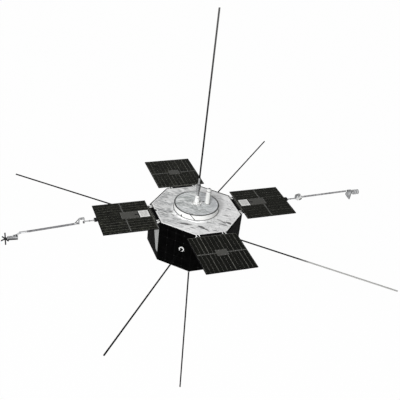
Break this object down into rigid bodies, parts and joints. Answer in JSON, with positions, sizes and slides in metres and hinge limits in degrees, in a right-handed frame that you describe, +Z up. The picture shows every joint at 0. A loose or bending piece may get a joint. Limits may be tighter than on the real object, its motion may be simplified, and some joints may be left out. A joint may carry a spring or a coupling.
{
  "type": "spin-stabilised satellite",
  "caption": "Eight-sided science satellite in orbit trim, with hinged solar panels, folding instrument booms, axial rod antennas and wire antennas.",
  "frame": {"origin": "centre of the lower separation ring's mating face", "axes": "+Z up along the spin axis towards the upper ring, +X towards the right panel, +Y towards the back panel"},
  "size_m": [7.8958, 6.6548, 9.6103],
  "materials": {
    "black_blanket_wall": "matte",
    "deck_plate": "satin",
    "silver_blanket": "satin",
    "equipment": "matte",
    "white_ring": "satin",
    "grey_lid": "matte",
    "white_mast": "satin",
    "dark_canister": "satin",
    "pale_nozzle": "satin",
    "spring_metal_rod": "satin",
    "white_radome": "satin",
    "dark_wire": "matte",
    "bare_aluminium": "satin",
    "panel_board": "matte",
    "solar_cells": "gloss",
    "black_root": "matte",
    "grey_cover": "satin",
    "white_pad": "matte",
    "grey_boom": "satin",
    "black_bracket": "matte",
    "sensor_grey": "satin",
    "dark_coil": "satin",
    "pale_radiator": "satin"
  },
  "bodies": {
    "bus": {"side_walls": "black_blanket_wall", "top_deck": "deck_plate", "bottom_deck": "deck_plate", "top_blanket": "silver_blanket", "bottom_blanket": "silver_blanket", "equipment_block": "equipment", "upper_ring": "white_ring", "lower_ring": "white_ring", "upper_ring_lid": "grey_lid", "lower_ring_lid": "grey_lid", "upper_axial_foot": "bare_aluminium", "lower_axial_foot": "bare_aluminium", "upper_axial_mast": "white_mast", "lower_axial_mast": "white_mast", "upper_axial_canister": "dark_canister", "lower_axial_canister": "dark_canister", "upper_axial_nozzle": "pale_nozzle", "lower_axial_nozzle": "pale_nozzle", "upper_axial_rod": "spring_metal_rod", "lower_axial_rod": "spring_metal_rod", "upper_stub_antenna": "white_radome", "lower_stub_antenna": "white_radome", "wire_outlets": "bare_aluminium", "wire_back_right": "dark_wire", "wire_back_left": "dark_wire", "wire_front_left": "dark_wire", "wire_front_right": "dark_wire", "hinge_brackets": "bare_aluminium", "radiator_plate": "pale_radiator"},
    "right_panel": {"right_panel_root": "black_root", "right_panel_board": "panel_board", "right_panel_cells": "solar_cells", "right_boom_pad": "white_pad", "right_cable_cover": "grey_cover", "right_boom_bracket": "black_bracket", "right_stub_arm": "bare_aluminium"},
    "back_panel": {"back_panel_root": "black_root", "back_panel_board": "panel_board", "back_panel_cells": "solar_cells", "back_centre_plate": "grey_cover"},
    "left_panel": {"left_panel_root": "black_root", "left_panel_board": "panel_board", "left_panel_cells": "solar_cells", "left_boom_pad": "white_pad", "left_cable_cover": "grey_cover", "left_boom_bracket": "black_bracket", "left_stub_arm": "bare_aluminium"},
    "front_panel": {"front_panel_root": "black_root", "front_panel_board": "panel_board", "front_panel_cells": "solar_cells", "front_centre_plate": "grey_cover"},
    "right_boom": {"right_boom_knuckle": "bare_aluminium", "right_long_boom": "grey_boom", "right_sensor_housing": "sensor_grey", "right_sensor_drum": "sensor_grey"},
    "left_boom": {"left_boom_knuckle": "bare_aluminium", "left_long_boom": "grey_boom", "left_sensor_case": "sensor_grey", "left_sensor_coils": "dark_coil"}
  },
  "joints": [
    {"name": "right_panel_hinge", "type": "hinge", "parent": "bus", "child": "right_panel", "pos_m": [0.93, 0, 1.04], "axis": [0, 1, 0], "range_deg": [0, 90]},
    {"name": "back_panel_hinge", "type": "hinge", "parent": "bus", "child": "back_panel", "pos_m": [0, 0.93, 1.04], "axis": [-1, 0, 0], "range_deg": [0, 90]},
    {"name": "left_panel_hinge", "type": "hinge", "parent": "bus", "child": "left_panel", "pos_m": [-0.93, 0, 1.04], "axis": [0, -1, 0], "range_deg": [0, 90]},
    {"name": "front_panel_hinge", "type": "hinge", "parent": "bus", "child": "front_panel", "pos_m": [0, -0.93, 1.04], "axis": [1, 0, 0], "range_deg": [0, 90]},
    {"name": "right_boom_elbow", "type": "hinge", "parent": "right_panel", "child": "right_boom", "pos_m": [2.408, 0.04, 1.094], "axis": [0, -1, 0], "range_deg": [0, 178.55]},
    {"name": "left_boom_elbow", "type": "hinge", "parent": "left_panel", "child": "left_boom", "pos_m": [-2.408, 0.04, 1.094], "axis": [0, 1, 0], "range_deg": [0, 183.6]}
  ]
}
